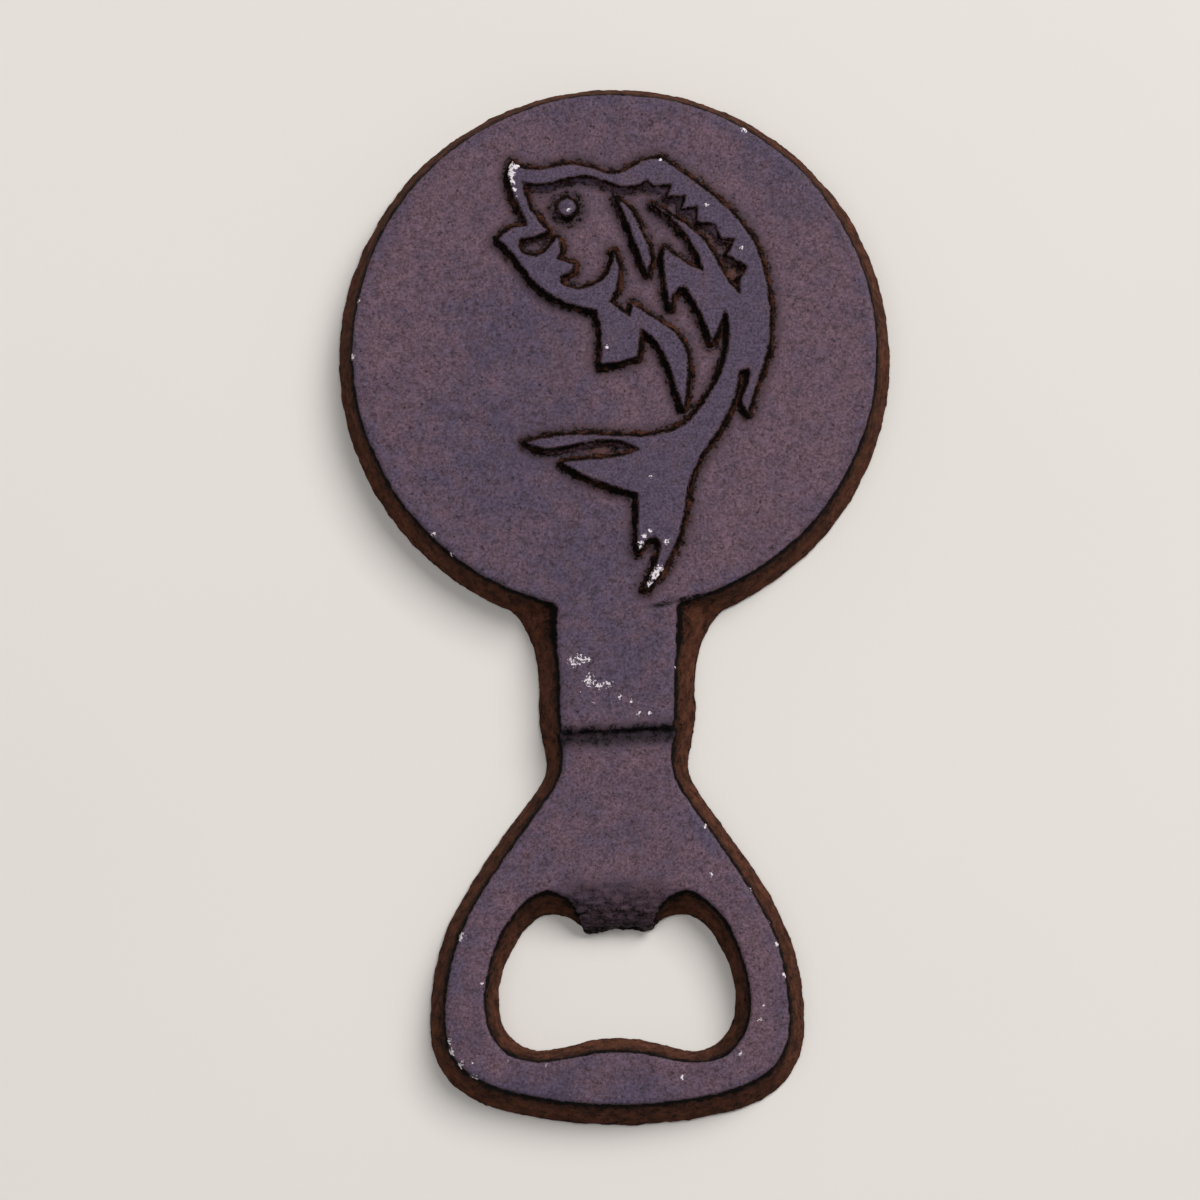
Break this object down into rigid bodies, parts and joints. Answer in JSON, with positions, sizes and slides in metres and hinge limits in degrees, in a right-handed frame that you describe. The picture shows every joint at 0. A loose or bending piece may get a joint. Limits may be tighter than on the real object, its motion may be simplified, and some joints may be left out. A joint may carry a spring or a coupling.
{
  "type": "bottle opener",
  "caption": "Cast-iron souvenir bottle opener: round medallion with a fish in relief, short neck, rounded triangular loop with a toothed cap lip, flat back.",
  "frame": {"origin": "centre of the footprint, on the flat back", "axes": "+Z out of the face that carries the fish, +Y from the loop towards the medallion, +X to the right seen from the front"},
  "size_m": [0.0744, 0.14, 0.0077],
  "materials": {
    "iron_plate": "matt purple-brown coating over fine sand-cast grain",
    "iron_lip": "rougher, darker coating over coarse sand-cast grain",
    "iron_relief": "the same coating rubbed to a blue-grey sheen, bare at a few edges"
  },
  "bodies": {
    "root": {"medallion_disc": "iron_plate", "neck_shank": "iron_plate", "opener_loop": "iron_plate", "cap_lip": "iron_lip", "fish_body": "iron_relief", "fish_eye": "iron_relief", "fish_gill_bar": "iron_relief"}
  },
  "joints": []
}
